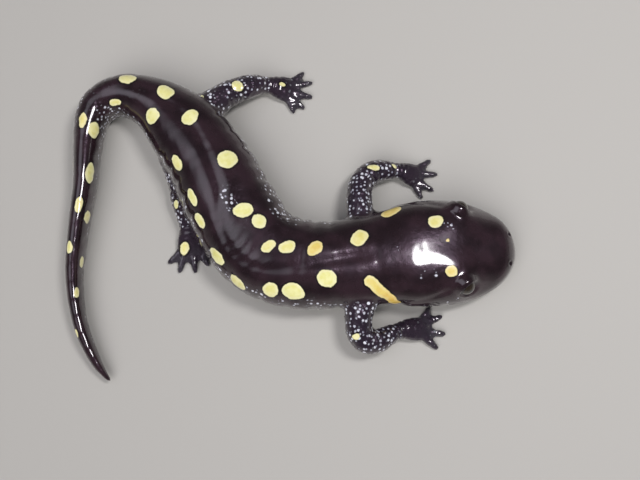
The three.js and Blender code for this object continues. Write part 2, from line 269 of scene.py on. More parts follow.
# The height of the body's middle, by the distance behind the snout.
MID_HEIGHTS = [(0, 4.3), (20, 5.3), (46, 6.2), (72, 6.2), (92, 5.5), (116, 4.4), (142, 3.3), (170, 1.6)]
LEG_LINES = {
    "front_left": [(16.5, -5.9, 6.3), (13.4, 8.8, 5.6), (23.2, 10.8, 2.5), (28.0, 9.9, 1.0)],
    "front_right": [(16.1, -14.9, 6.3), (13.1, -28.2, 5.6), (22.7, -23.9, 2.5), (28.3, -23.3, 1.0)],
    "hind_left": [(-21.5, 20.4, 6.0), (-13.1, 28.5, 5.4), (-5.3, 30.8, 2.5), (-0.1, 29.9, 1.0)],
    "hind_right": [(-26.1, 17.6, 5.4), (-23.9, 8.4, 3.6), (-21.9, -1.7, 2.3), (-21.4, -6.6, 1.0)],
}
LEG_STEPS = 24
ROUNDED_BEND = 0.36  # share of the upper and of the lower leg that the elbow or knee rounds off
BLOCK = 4000  # points that are compared with a line at one time


def lengths(vectors):
    return np.linalg.norm(vectors, axis=1)


def curve_through(places, steps):
    """A smooth curve through places, with the distance along it and its direction at each sample."""
    p = np.array(places, float)
    p = np.vstack([2 * p[0] - p[1], p, 2 * p[-1] - p[-2]])
    t = np.linspace(0, 1, steps, endpoint=False)[:, None]
    spans = []
    for i in range(1, len(p) - 2):
        leave = (p[i + 1] - p[i - 1]) / 2
        arrive = (p[i + 2] - p[i]) / 2
        spans.append((2 * t**3 - 3 * t**2 + 1) * p[i] + (t**3 - 2 * t**2 + t) * leave
                     + (3 * t**2 - 2 * t**3) * p[i + 1] + (t**3 - t**2) * arrive)
    line = np.vstack(spans + [p[-2:-1]])
    along = np.concatenate([[0], np.cumsum(lengths(np.diff(line, axis=0)))])
    heading = np.gradient(line, along, axis=0)
    return line, along, heading / lengths(heading)[:, None]


back, back_at, back_heading = curve_through(BACK_LINE, BACK_STEPS)
back = back + CENTRING
leg_joints = {leg: np.array(places) + (*CENTRING, 0) for leg, places in LEG_LINES.items()}
leg_curves = {}
for leg, (root, bend, wrist, palm) in leg_joints.items():
    into_bend = bend + ROUNDED_BEND * (root - bend)
    out_of_bend = bend + ROUNDED_BEND * (wrist - bend)
    leg_curves[leg] = curve_through([root, into_bend, out_of_bend, wrist, palm], LEG_STEPS)
BEND_STEP = 3 * LEG_STEPS // 2  # halfway round the bend, in the second span
WRIST_STEP = 3 * LEG_STEPS  # where the third span ends


def nearest_on(line, points):
    """For each point the number of the nearest sample of a line."""
    found = np.empty(len(points), int)
    for start in range(0, len(points), BLOCK):
        block = points[start:start + BLOCK]
        gaps = ((block[:, None, :] - line[None, :, :]) ** 2).sum(2)
        found[start:start + BLOCK] = gaps.argmin(1)
    return found


def leftward(i):
    """The way to the body's left at a sample of the back line."""
    return np.array([back_heading[i, 1], -back_heading[i, 0]])


def middle_height(at):
    return np.interp(at, *zip(*MID_HEIGHTS))


def body_coordinates(points):
    """Distance behind the snout, offset to the left, and angle from the midline (left is positive)."""
    i = nearest_on(back, points[:, :2])
    gap = points[:, :2] - back[i]
    at = back_at[i] + (gap * back_heading[i]).sum(1)
    left = gap[:, 0] * back_heading[i, 1] - gap[:, 1] * back_heading[i, 0]
    return at, left, np.degrees(np.arctan2(left, points[:, 2] - middle_height(at)))


# ---------- skin: finer faces
# The lower legs, lips, lids and nostrils get faces half the size, and the last three half of that
# again.  The skin is then smoothed, drawn back onto the flesh and unwrapped.
LOWER_LEG = ("forearm", "shank", "hand", "foot")
MOUTH_CORNER = 15.0  # behind the snout
MOUTH_LINE = [(0, 3.5), (5, 3.25), (11, 3.45), (MOUTH_CORNER, 4.3), (18, 4.6)]  # its height
NOSTRIL_AT = 1.5  # behind the snout
NOSTRIL_OUT = 3.1  # to either side of the midline
LIP_ZONE = 0.7  # how far from the lips, nostrils and eyes' centres the finest faces reach
NOSTRIL_ZONE = 1.3
EYE_ZONE = 3.2
LIP_MARGIN = 0.6  # how much further the first halving reaches from the lips
ABOVE = 20  # a height clear of the animal, from where its upper side is found
DOWN = (0, 0, -1)
DIGIT_FIRMNESS = 0.6  # how much less hands and feet are smoothed than the rest
DIGIT_FULLNESS = 0.08
SMOOTHINGS = 16  # before the skin is drawn back
LAST_SMOOTHINGS = 10
FLOOR_SNAP = 0.06  # what is lower than this is laid on the floor
UNWRAP_TURN = radians(66)
UNWRAP_MARGIN = 0.002


def points_of(mesh):
    """A mesh's points in millimetres."""
    flat = np.empty(len(mesh.vertices) * 3)
    mesh.vertices.foreach_get("co", flat)
    return flat.reshape(-1, 3) / MM


def normals_of(mesh):
    flat = np.empty(len(mesh.vertices) * 3)
    mesh.vertex_normals.foreach_get("vector", flat)
    return flat.reshape(-1, 3)


def place_points(mesh, points):
    mesh.vertices.foreach_set("co", (points * MM).ravel())
    mesh.update()


def parts_under(points):
    """For each point the number of the solid it came from."""
    faces = np.array([plain_form.find_nearest(Vector(p) * MM)[2] for p in points])
    return part_of_face[faces]


def eye_centre(node):
    low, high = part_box(node)
    return np.array((low + high) / 2) / MM


def mouth_gap(at, points):
    """Height above the closed mouth's line."""
    return points[:, 2] - np.interp(at, *zip(*MOUTH_LINE))


def hit(surface, start, way):
    """Where a ray from a start meets a surface, and the way the surface faces there."""
    spot, facing, _, _ = surface.ray_cast(Vector(start) * MM, Vector(way))
    return np.array(spot) / MM, np.array(facing)


snout = np.searchsorted(back_at, NOSTRIL_AT)
nostrils = []
for sign in (1, -1):
    nostril_place = back[snout] + sign * NOSTRIL_OUT * leftward(snout)
    nostrils.append(hit(plain_form, (*nostril_place, ABOVE), DOWN)[0])


def nostril_gap(points):
    """Distance from the nearer nostril."""
    return np.minimum(*(lengths(points - nostril) for nostril in nostrils))


def halve_faces(obj, wanted):
    """Splits every face whose points are all wanted into four."""
    chosen = [all(wanted[v] for v in face.vertices) for face in obj.data.polygons]
    start_editing(obj, "DESELECT")
    bpy.ops.mesh.select_mode(type="FACE")
    stop_editing()
    obj.data.polygons.foreach_set("select", chosen)
    bpy.ops.object.mode_set(mode="EDIT")
    bpy.ops.mesh.subdivide(number_cuts=1)
    stop_editing()


# The first round reaches further than the second, and takes in the lower legs.
for reach in (1.0, 0.0):
    points = points_of(skin.data)
    at, left, turn = body_coordinates(points)
    wanted = (abs(mouth_gap(at, points)) < LIP_ZONE + LIP_MARGIN * reach) & (at < MOUTH_CORNER + 2)
    wanted |= nostril_gap(points) < NOSTRIL_ZONE + reach
    for node in EYE_NODES:
        wanted |= lengths(points - eye_centre(node)) < EYE_ZONE + reach
    if reach:
        wanted |= np.array([parts[k].endswith(LOWER_LEG) for k in parts_under(points)])
    halve_faces(skin, wanted)

edges = np.empty(len(skin.data.edges) * 2, int)
skin.data.edges.foreach_get("vertices", edges)
edges = edges.reshape(-1, 2)
count = len(skin.data.vertices)
neighbours = np.bincount(edges.ravel(), minlength=count)[:, None]


def average_round(values):
    """The mean of each point's neighbours."""
    total = np.empty_like(values)
    for k in range(values.shape[1]):
        total[:, k] = (np.bincount(edges[:, 0], values[edges[:, 1], k], count)
                       + np.bincount(edges[:, 1], values[edges[:, 0], k], count))
    return total / neighbours


def relaxed(values, rounds, weight=1.0):
    """Values smoothed without shrinking: each round pulls toward the neighbours and pushes back."""
    for _ in range(rounds):
        for amount in (0.5, -0.52):
            values = values + amount * weight * (average_round(values) - values)
    return values


def blurred(mask, rounds):
    """A mask spread softly over the skin."""
    values = mask.astype(float)[:, None]
    for _ in range(rounds):
        values = 0.5 * values + 0.5 * average_round(values)
    return values[:, 0]


points = points_of(skin.data)
part = parts_under(points)
legs = np.array([parts[k].startswith(("front", "hind")) for k in part])
leg_share = blurred(legs, rounds=12)
digit_share = blurred(np.array([parts[k].endswith(ENDS_OF_LEGS) for k in part]), rounds=3)
softness = 1 - DIGIT_FIRMNESS * digit_share[:, None]
points = relaxed(points, SMOOTHINGS, softness)
place_points(skin.data, points)
points = points - (SWELL - DIGIT_FULLNESS * digit_share[:, None]) * normals_of(skin.data)
points = relaxed(points, LAST_SMOOTHINGS, softness)
points[:, 2] = np.where(points[:, 2] < FLOOR_SNAP, 0, points[:, 2])
place_points(skin.data, points)

start_editing(skin)
bpy.ops.uv.smart_project(angle_limit=UNWRAP_TURN, island_margin=UNWRAP_MARGIN)
stop_editing()
skin.data.uv_layers[0].name = "OFBake"

# ---------- skin: folds of the body
# The living skin is loose and wet.  It is pinched into upright grooves between the ribs and along the
# tail's sides, crowds into wrinkles inside the bend, and sinks to a furrow along the spine.
# Two numbers are where a fold starts and is full, and four also where it fades and ends.  A run is
# behind the snout, sides are in degrees from the midline either way, and turns in degrees to its left.
RIB_FIRST = 38.5  # behind the snout, where the row of grooves between the ribs starts
RIB_LAST = 84.5  # and where it ends
RIB_RUN = (RIB_FIRST - 1.8, RIB_FIRST - 0.8, RIB_LAST - 1, RIB_LAST + 1)
RIB_SIDES = (40, 78, 125, 155)
RIB_PITCH = 4.0
RIB_LEVEL = 80  # the side at which a groove lies where its row says
RIB_SLANT = 0.012  # how far it runs back for each degree further down
RIB_DEPTH = 0.26
RIB_VARIATION = 0.08  # in the depth
RIB_FULLNESS = 0.08  # how far the flesh stands out between the grooves
SIDE_ON = 90  # straight out from the midline
TAIL_FIRST = 99
TAIL_RUN = (96, 100, 140, 162)
TAIL_SIDES = (20, 60, 120, 150)
TAIL_PITCH = 3.5
TAIL_SLANT = 0.02
# How far the spine is rolled off the top, in degrees to the left, along the back.
SPINE_ROLL = [
    (28, 0), (36, -1), (42, -8), (48, -23), (52, -35), (56, -40), (60, -34), (64, -22), (68, -6), (75, 1),
    (82, 9), (89, 12), (96, 8), (104, 0),
]
SPINE_RUN = (26, 36, 98, 108)
SPINE_SIDES = (80, 110)  # here where the furrow fades and ends
SPINE_ROLLS = (-2.0, 2.0)  # from the furrow to the low roll on either side of it
KEEL_RUN = (106, 118, 150, 168)
FAN_MIDDLE = 57.0  # behind the snout, where creases fan out across the back
FAN_WIDTH = 4.2
FAN_TURNS = (-66, -48, -22, -2)
FAN_WAVER = 0.7  # how far its creases wander
FAN_PITCH = 2.1
CREASE_DEPTH = 0.10
CROWDED = (0.40, 0.75)  # the stretch at which skin is crowded most, and no longer
CROWDED_SIDES = (35, 60, 130, 150)
WRINKLES = 1.5  # to a millimetre of the back line, before the bend crowds them
STRETCH_LIMITS = (0.25, 2)


def bell(x, width):
    """1 where x is nothing, fading out on either side over about twice the width."""
    return np.exp(-0.5 * (x / width) ** 2)


def ramp(x, start, stop):
    """0 before start, 1 after stop, and smooth between."""
    t = np.clip((x - start) / (stop - start), 0, 1)
    return t * t * (3 - 2 * t)


def between(x, start, full, fade, stop):
    """1 from full to fade, 0 before start and after stop, and smooth between."""
    return ramp(x, start, full) * (1 - ramp(x, fade, stop))


def groove(gap, width, depth):
    """A push inwards, by the distance from the groove's line."""
    return -depth * bell(gap, width)


def ridge(gap, width, height):
    return height * bell(gap, width)


def lumps(points, size, seed):
    """Smooth noise about -1 to 1, with lumps of that size in millimetres."""
    shift = Vector((seed * 17.3, seed * 5.9, seed * 11.1))
    return np.array([noise.noise(Vector(p) / size + shift) for p in points]) * 1.6


def off_nearest(steps, pitch):
    """Distance from the nearest of a row of lines, by how many steps along the row a point lies."""
    return (steps - np.round(steps)) * pitch


# Where each point lies: at is its distance behind the snout, turn its angle from the midline in degrees
# to the left and side to either side, and stretch how long the skin is there beside the back line.
points = points_of(skin.data)
normals = normals_of(skin.data)
at, left, turn = body_coordinates(points)
height = points[:, 2]
side = abs(turn)
body_share = 1 - leg_share
radius = np.hypot(left, height - middle_height(at))
curl = np.gradient(np.unwrap(np.arctan2(back_heading[:, 1], back_heading[:, 0])), back_at)
stretch = np.clip(1 + curl[nearest_on(back, points[:, :2])] * left, *STRETCH_LIMITS)

# Grooves between the ribs and along the tail's sides.
rib_steps = (at + RIB_SLANT * (side - RIB_LEVEL) - RIB_FIRST) / RIB_PITCH
rib_share = between(side, *RIB_SIDES) * body_share * between(at, *RIB_RUN)
rib_depth = RIB_DEPTH + RIB_VARIATION * lumps(points, size=7, seed=1)
push = rib_share * RIB_FULLNESS
push += rib_share * groove(off_nearest(rib_steps, RIB_PITCH) * stretch, width=0.55, depth=rib_depth)
tail_steps = (at + TAIL_SLANT * (side - SIDE_ON) - TAIL_FIRST) / TAIL_PITCH
tail_share = between(at, *TAIL_RUN) * between(side, *TAIL_SIDES)
push += tail_share * groove(off_nearest(tail_steps, TAIL_PITCH) * stretch, width=0.45, depth=0.12)

# The furrow along the spine with a low roll on either side, and the tail's low keel behind it.
off_spine = np.radians(turn - np.interp(at, *zip(*SPINE_ROLL))) * radius
spine_share = between(at, *SPINE_RUN) * (1 - ramp(side, *SPINE_SIDES))
push += spine_share * groove(off_spine, width=0.75, depth=0.15)
for offset in SPINE_ROLLS:
    push += spine_share * ridge(off_spine - offset, width=1.0, height=0.05)
push += between(at, *KEEL_RUN) * ridge(np.radians(turn) * radius, width=0.9, height=0.10)

# Creases that fan out across the back where the trunk bends, and wrinkles crowded inside the bends.
fan = (at - FAN_MIDDLE) * stretch + FAN_WAVER * lumps(points, size=4, seed=2)
fan_share = bell(fan, FAN_WIDTH) * between(turn, *FAN_TURNS)
push -= CREASE_DEPTH * fan_share * (1 + np.cos(2 * pi * fan / FAN_PITCH)) / 2
inside_bend = (1 - ramp(stretch, *CROWDED)) * body_share * between(side, *CROWDED_SIDES)
push -= CREASE_DEPTH * inside_bend * np.cos(2 * pi * at * WRINKLES + 2 * lumps(points, size=3, seed=3))

# ---------- skin: folds of the head
# A fold crosses the throat, a weaker one lies behind the jaw, and a groove runs back from each eye.
# The mouth is shut along a fine line between soft lips, and the crown is nearly flat between the jaw
# muscles.
THROAT_FOLD = 26.0  # behind the snout, like the next fold
THROAT_SIDES = (62, 92)  # where it starts and is full
THROAT_SLANT = 0.018
JAW_FOLD = 22.6
JAW_SIDES = (80, 100, 120, 140)
JAW_SLANT = -0.02
EYE_GROOVE_RUN = (14.2, 16, 24, 26)
EYE_GROOVE_START = (14.5, 60)  # behind the snout, and in degrees to the side
EYE_GROOVE_DROP = 1.6  # degrees for each millimetre further back
JAW_JOINT = (17.6, 4.4)  # behind the snout, and its height
JOINT_RUN = (17.5, 18.5, 19.5, 21)
JOINT_GROOVE = 1.9  # from the joint to the groove behind it
JOINT_OVAL = 0.7  # the groove's length as a share of its height
LIPS_END = (MOUTH_CORNER - 0.3, MOUTH_CORNER + 0.9)
UPPER_LIP = 0.75  # from the mouth's line up to the middle of the lip
LOWER_LIP = 0.6  # and down
NOSTRIL_RIM = 0.75
CROWN_AT = 18.5  # behind the snout, where the crown's flat has its middle
CROWN_SPREAD = 26  # and how far it spreads from the midline, in degrees

throat = at - THROAT_FOLD - THROAT_SLANT * (side - SIDE_ON)
throat_share = ramp(side, *THROAT_SIDES) * body_share
push += throat_share * groove(throat, width=0.75, depth=0.32)
push += throat_share * ridge(throat + 1.8, width=1.0, height=0.10)
behind_jaw = at - JAW_FOLD - JAW_SLANT * (side - SIDE_ON)
push += between(side, *JAW_SIDES) * groove(behind_jaw, width=0.6, depth=0.12)
eye_groove_side = EYE_GROOVE_START[1] + EYE_GROOVE_DROP * (at - EYE_GROOVE_START[0])
behind_eye = np.radians(side - eye_groove_side) * radius
push += between(at, *EYE_GROOVE_RUN) * groove(behind_eye, width=0.5, depth=0.16)
round_joint = np.hypot(at - JAW_JOINT[0], (height - JAW_JOINT[1]) * JOINT_OVAL)
push += between(at, *JOINT_RUN) * groove(round_joint - JOINT_GROOVE, width=0.5, depth=0.12)

lip_gap = mouth_gap(at, points)
lip_share = 1 - ramp(at, *LIPS_END)
push += lip_share * groove(lip_gap, width=0.15, depth=0.42)
push += lip_share * ridge(lip_gap - UPPER_LIP, width=0.4, height=0.16)
push += lip_share * ridge(lip_gap + LOWER_LIP, width=0.35, height=0.08)
nostril = nostril_gap(points)
push += groove(nostril, width=0.26, depth=0.45)
push += ridge(nostril - NOSTRIL_RIM, width=0.30, height=0.05)
push += bell(turn, CROWN_SPREAD) * groove(at - CROWN_AT, width=5.5, depth=0.45)

# ---------- skin: folds of the legs
# The skin creases inside each elbow and knee and round each wrist and ankle, stays firm over the
# outside of the bend and the muscle of the lower leg, and dips at the joints of the digits.
BEND_FOLDS = (-1.7, -0.5, 0.7, 1.9)  # along the leg, from the elbow or knee
WRIST_FOLDS = (-0.9, 0.1, 1.0)  # along the leg, from the wrist or ankle
DIGIT_JOINTS = (2.6, 3.9, 5.1)  # out from the middle of the palm
INNER_SIDE = (-0.1, 0.6)  # how far skin faces the bend where its folds start and are full
OUTER_SIDE = (0.3, 0.9)  # the same for skin that faces away from it
DIGIT_TOP = (0.5, 0.9)  # the heights at which the digits' folds start and are full
SLACK_HEIGHT = 0.07
SLACK_RUN = (10, 24)
RUMPLE_HEIGHT = 0.045
RUMPLE_RUN = (18, 30)
RUMPLE_SIDES = (40, 90)
RUMPLE_ON_TOP = 0.35  # share of it that is left on the back
GRAIN_SIZE = 1.05
GRAIN_REACH = 0.62  # share of its size at which a grain has sunk back to the skin
GRAIN_HEIGHT = 0.10
GRAIN_LOST = 0.6  # share of it that is lost on the digits
FLOOR_FLATNESS = 0.85  # share of every fold that is lost on skin that rests
RESTING_HEIGHT = 0.35
RESTING_TURN = -0.5  # how far down skin has to face to rest


def unit(vector):
    return vector / np.linalg.norm(vector)


for leg, (line, along, heading) in leg_curves.items():
    root, bend, wrist, palm = leg_joints[leg]
    mine = np.array([parts[k].startswith(leg) for k in part])
    own = points[mine]
    near = nearest_on(line, own)
    run = along[near] + ((own - line[near]) * heading[near]).sum(1)
    bend_at = along[BEND_STEP]
    wrist_at = along[WRIST_STEP]
    inward = unit(unit(root - bend) + unit(wrist - bend))
    outward = own - line[near]
    outward /= lengths(outward)[:, None]
    facing = outward @ inward  # 1 inside the bend and -1 outside it
    folds = ramp(-facing, *OUTER_SIDE) * ridge(run - bend_at, width=1.3, height=0.30)
    folds += ridge(run - (bend_at + wrist_at) / 2, width=2.2, height=0.16)
    for offset in BEND_FOLDS:
        folds += ramp(facing, *INNER_SIDE) * groove(run - bend_at - offset, width=0.28, depth=0.22)
    for offset in WRIST_FOLDS:
        folds += groove(run - wrist_at - offset, width=0.22, depth=0.13)
    palm_gap = lengths((own - palm)[:, :2])
    for offset in DIGIT_JOINTS:
        folds += ramp(own[:, 2], *DIGIT_TOP) * groove(palm_gap - offset, width=0.18, depth=0.07)
    push[mine] += folds

# Slack, rumpled skin everywhere behind the snout, coarse grains on the legs, and flat resting skin.
push += SLACK_HEIGHT * lumps(points, size=6, seed=4) * ramp(at, *SLACK_RUN)
rumpled = RUMPLE_ON_TOP + (1 - RUMPLE_ON_TOP) * ramp(side, *RUMPLE_SIDES)
push += RUMPLE_HEIGHT * lumps(points, size=2.2, seed=5) * rumpled * ramp(at, *RUMPLE_RUN)
grain_gap = np.array([noise.voronoi(Vector(p) / GRAIN_SIZE)[0][0] for p in points[legs]])
grains = np.zeros(count)
grains[legs] = np.clip(1 - (grain_gap / GRAIN_REACH) ** 2, 0, 1)
push += GRAIN_HEIGHT * grains * leg_share * (1 - GRAIN_LOST * digit_share)
push *= 1 - FLOOR_FLATNESS * bell(height, RESTING_HEIGHT) * (normals[:, 2] < RESTING_TURN)
points = points + push[:, None] * normals
points = relaxed(points, rounds=1, weight=0.5)

# ---------- skin: lids
# Each lid is a thick soft rim that hugs the eyeball, the upper one thicker than the lower.  Inside the
# opening the skin is drawn back behind the ball.
EYE_RADIUS = 2.0
GAZE = (0.74, 0.52, 0.27)  # shares of outward, forward and up in the way the eyes look
LID_WIDTH = 64  # the opening's half width and half height, in degrees round the ball
LID_HEIGHT = 54
LID_GAP = 0.05  # between the lids' edge and the ball
LOWER_LID = 0.10  # how thick the lower lid is
UPPER_LID = 0.16  # how much thicker the upper one is
LID_CHANGE = (-0.3, 0.7)  # from under to over the eye, where the lower becomes the upper
# How far out from the middle of the opening, where its edge is 1.
LID_EDGE = (0.96, 1.35)  # where the rim starts and has its thickness
LID_CREASE = 1.6  # where a fine crease runs round it
LID_TUCK = (0.92, 1.0)  # where the skin in the opening rises to the edge
LID_BLEND = 2.1  # how far the lids' bulge runs out into the head
LID_REACH = (3.4, 4.6)  # from the eye's centre, where the bulge starts to fade and ends
LID_BACK = (100, 130)  # the same in degrees from the way the eye looks
DRAWN_BACK = 0.35  # how far behind the ball's surface the skin in the opening lies
UP = np.array([0, 0, 1.0])


def eye_frame(node):
    """An eye's centre, the way it looks, and the ways across and up that are square to it."""
    centre = eye_centre(node)
    here = nearest_on(back, centre[None, :2])[0]
    out = np.array([*leftward(here), 0]) * EYE_NODES[node]
    ahead = np.array([*-back_heading[here], 0])
    gaze = unit(GAZE[0] * out + GAZE[1] * ahead + GAZE[2] * UP)
    across = unit(np.cross(UP, gaze))
    return centre, gaze, across, np.cross(gaze, across)


for node in EYE_NODES:
    centre, gaze, across, upward = eye_frame(node)
    reach = lengths(points - centre)
    toward = (points - centre) / reach[:, None]
    off_gaze = np.degrees(np.arccos(np.clip(toward @ gaze, -1, 1)))
    spread = np.maximum(np.hypot(toward @ across, toward @ upward), 1e-6)
    sideways = toward @ across / spread
    upright = toward @ upward / spread
    opening = off_gaze * np.hypot(sideways / LID_WIDTH, upright / LID_HEIGHT)
    rim = (LOWER_LID + UPPER_LID * ramp(upright, *LID_CHANGE)) * ramp(opening, *LID_EDGE)
    lid = EYE_RADIUS + LID_GAP + rim + groove(opening - LID_CREASE, width=0.12, depth=0.05)
    overlap = np.clip(1 - abs(reach - lid) / LID_BLEND, 0, 1)
    hooded = np.maximum(reach, lid) + overlap ** 2 * LID_BLEND / 4
    fade = (1 - ramp(reach, *LID_REACH)) * (1 - ramp(off_gaze, *LID_BACK))
    outside = reach + (hooded - reach) * fade
    inside = np.minimum(reach, EYE_RADIUS - DRAWN_BACK)
    new_reach = np.where(opening < 1, inside + (outside - inside) * ramp(opening, *LID_TUCK), outside)
    close = reach < LID_REACH[1]
    points[close] = (centre + toward * new_reach[:, None])[close]

points[:, 2] = np.maximum(points[:, 2], 0)
place_points(skin.data, points)

# ---------- skin: markings
# Two uneven rows of spots run down the back from the eyes to the tail, pale yellow on the trunk and
# deeper orange on the neck.  Painted glints, pale dots for the shine off wet granules, gather on the legs,
# the flanks and inside the bends.
FAR = 3.0  # distances from a marking's edge are kept up to this
SPOT_DEPTH = 0.45  # how far below or above its place a spot reaches, as a share of its size
SPOT_MIDDLE = 1e-4  # what counts as a spot's very middle, as a share of its half size
TRUNK_LIMIT = 0.7  # the share of leg in the skin below which it takes a body spot
LEG_LIMIT = 0.3  # and above which it takes a leg spot
LEG_SPOT_WAY = np.array([1.0, 0, 0])  # what a leg spot's length follows before it is turned
# Spots on the body: behind the snout, angle off the top (left is positive), length, width, turn and
# orange share.
BODY_SPOTS = [
    (17, 38, 3.1, 2.7, 20, 0.15), (14.8, -39, 2.4, 2.4, 0, 0.45), (14.8, 9, 0.9, 0.6, 0, 0.6),
    (25.1, 61, 4.6, 2.6, 20, 0.6), (32.4, 29, 4, 3.1, 40, 0.2), (42.1, 17, 3.6, 2.6, 45, 0.55),
    (48.1, 12, 3.6, 2.5, 35, 0.1), (52, 2, 3.1, 2.1, 60, 0.1), (57.5, 22, 3, 2.8, 0, 0),
    (61.3, 10, 4.2, 2.9, 70, 0), (72.7, 26, 3.9, 4.2, 0, 0), (84.7, 16, 3.2, 3.9, 0, 0),
    (92.6, 25, 3.9, 3.2, 0, 0.05), (100.7, 26, 3.8, 2.8, 0, 0.1),
    (40, -31, 4.1, 3.4, -30, 0), (45.2, -53, 4.6, 3.6, -10, 0), (48.9, -58, 3.2, 3.5, 0, 0.05),
    (53.2, -71, 4, 2.9, -20, 0.1), (57.2, -62, 4.3, 2.8, 10, 0), (64.4, -55, 3.7, 2, 0, 0),
    (68.8, -49, 4, 1.9, 0, 0), (77.9, -48, 3.6, 2.3, 0, 0.05), (91.1, -33, 3.3, 3.4, 0, 0),
    (103.6, -38, 2.7, 1.5, 0, 0.15), (113.3, 5, 3.6, 1.6, 0, 0.3), (115, -30, 3.4, 2.7, 0, 0.1),
    (124.5, -28, 4.5, 2.4, 0, 0.05), (131.5, -6, 3.5, 1.5, 0, 0.2), (133.5, -48, 2.7, 2.4, 0, 0.1),
    (122, 52, 3, 2.2, 0, 0.1), (140.5, 8, 2.6, 1.4, 0, 0.1), (143, -55, 2.4, 1.7, 0, 0.1),
    (138.5, 62, 2.6, 1.8, 0, 0.1), (150, -20, 2.2, 1.2, 0, 0.15), (158, 25, 1.7, 0.9, 0, 0.2),
]
# The bar on the right of the neck: places on its line, and its half width and orange share at each end.
NECK_BAR = [
    (31.9, -40), (31.2, -46), (30.5, -52), (29.8, -57), (29.1, -62), (28.3, -68), (27.5, -74), (26.7, -80),
]
BAR_HALF_WIDTH = (1.15, 0.9)
BAR_TINT = (0.4, 0.95)
# Spots on the legs: x, y, length, width, turn, orange share.
LEG_SPOTS = [
    (17.7, 10.1, 2.9, 1.4, 5, 0.1), (-11.4, 28.3, 2.7, 2.4, -50, 0.05), (-24.2, 2.4, 1.9, 1.2, 75, 0),
    (-22.6, -6.6, 3, 1.9, 80, 0.15), (13.6, -26, 1.6, 1.3, 0, 0.1), (-19.6, 25, 2.2, 1.8, 30, 0.05),
    (22.3, 11.2, 1.3, 0.9, 0, 0.1), (-2, 30.6, 1.4, 1, 0, 0.1),
]
# Single painted glints that stand out on the head and neck: behind the snout, angle off the top.
HEAD_GLINTS = [
    (14.9, 35), (13.6, 31), (25.6, 1), (20.6, -33), (19, -36), (18, -40), (21.6, -42), (15.5, -80),
    (13.9, -74), (16, 62),
]

surface = surface_of(skin.data)
spot_gap = np.full(count, FAR)
spot_tint = np.zeros(count)


def on_body(behind, angle):
    """The place on the skin at a distance behind the snout and an angle, and the way it faces."""
    i = np.searchsorted(back_at, behind)
    beam = np.array([*leftward(i), 0]) * sin(radians(angle)) + UP * cos(radians(angle))
    return hit(surface, (*back[i], middle_height(behind)), beam)


def mark(edge, tint):
    """Lays a marking on the skin, given every point's distance outside its edge."""
    nearer = edge < spot_gap
    spot_gap[nearer] = edge[nearer]
    spot_tint[nearer] = tint


def mark_oval(place, lengthwise, length, width, slant, tint, allowed):
    """Lays an oval spot round a place, on the skin that is allowed to have it."""
    centre, facing = place
    first = unit(lengthwise - facing * (lengthwise @ facing))
    second = np.cross(facing, first)
    gap = points - centre
    a = gap @ (first * cos(radians(slant)) + second * sin(radians(slant)))
    b = gap @ (second * cos(radians(slant)) - first * sin(radians(slant)))
    share = np.sqrt((2 * a / length) ** 2 + (2 * b / width) ** 2)
    edge = np.hypot(a, b) * (1 - 1 / np.maximum(share, SPOT_MIDDLE))
    edge = np.where(share > SPOT_MIDDLE, edge, -min(length, width) / 2)
    under = abs(gap @ facing) < SPOT_DEPTH * max(length, width)
    mark(np.where(under & allowed, edge, FAR), tint)


for behind, angle, length, width, slant, tint in BODY_SPOTS:
    ahead = -np.array([*back_heading[np.searchsorted(back_at, behind)], 0])
    mark_oval(on_body(behind, angle), ahead, length, width, slant, tint, leg_share < TRUNK_LIMIT)
bar = np.array([on_body(behind, angle)[0] for behind, angle in NECK_BAR])
half_widths = np.linspace(*BAR_HALF_WIDTH, len(bar) - 1)
tints = np.linspace(*BAR_TINT, len(bar) - 1)
for start, stop, half_width, tint in zip(bar, bar[1:], half_widths, tints):
    stroke = stop - start
    share = np.clip((points - start) @ stroke / (stroke @ stroke), 0, 1)
    mark(lengths(points - start - share[:, None] * stroke) - half_width, tint)
for x, y, length, width, slant, tint in LEG_SPOTS:
    place = hit(surface, (x, y, ABOVE), DOWN)
    mark_oval(place, LEG_SPOT_WAY, length, width, slant, tint, leg_share > LEG_LIMIT)


def patch(behind, reach, angle, spread):
    """A soft patch round a place on the body."""
    return bell(at - behind, reach) * bell(turn - angle, spread)


# Grain is how rough the skin is, from 0 to 1; the next mask is how thickly painted glints, pale dots of
# painted highlight, are strewn on it.
flank_grain = ramp(side, 48, 80) * ramp(at, 24, 32)
flank_grain *= 0.45 + 0.55 * ramp(0.5 + 0.5 * lumps(points, size=5, seed=6), 0.2, 0.8)
bend_grain = 0.6 * inside_bend + 0.7 * patch(behind=65.5, reach=4, angle=2, spread=11)
bend_grain += 0.6 * bell(at - 108, width=6)
grain = np.clip(0.06 + (0.75 * flank_grain + bend_grain) * body_share + leg_share, 0, 1)
grain *= 1 - 0.5 * digit_share
# Painted glints on the flanks and inside the bends, where wet granules catch the light.
flank_painted_glints = 0.45 * bell(side - 74, width=9) * ramp(at, 28, 36)
flank_painted_glints += 0.45 * patch(behind=56, reach=7, angle=54, spread=11)
bend_painted_glints = 0.3 * inside_bend + 0.56 * patch(behind=65.2, reach=3.4, angle=-2, spread=9)
bend_painted_glints += 0.5 * bell(at - 109, width=5) * ramp(side, 10, 30)
# Painted glints on the legs, only on skin that faces up toward the lamp.
glitter = 0.62 * leg_share * ramp(normals[:, 2], -0.1, 0.4) * (1 - digit_share)
glitter += body_share * (flank_painted_glints + bend_painted_glints)
for behind, angle in HEAD_GLINTS:
    glitter += 0.9 * bell(lengths(points - on_body(behind, angle)[0]), width=0.45)
underside = ramp(side, 92, 135) * body_share + (1 - ramp(height, 0.6, 3)) * leg_share


def store(mesh, name, values):
    """Stores one number a point for the material to read."""
    layer = mesh.attributes.new(name, "FLOAT", "POINT")
    layer.data.foreach_set("value", values.astype(np.float32))


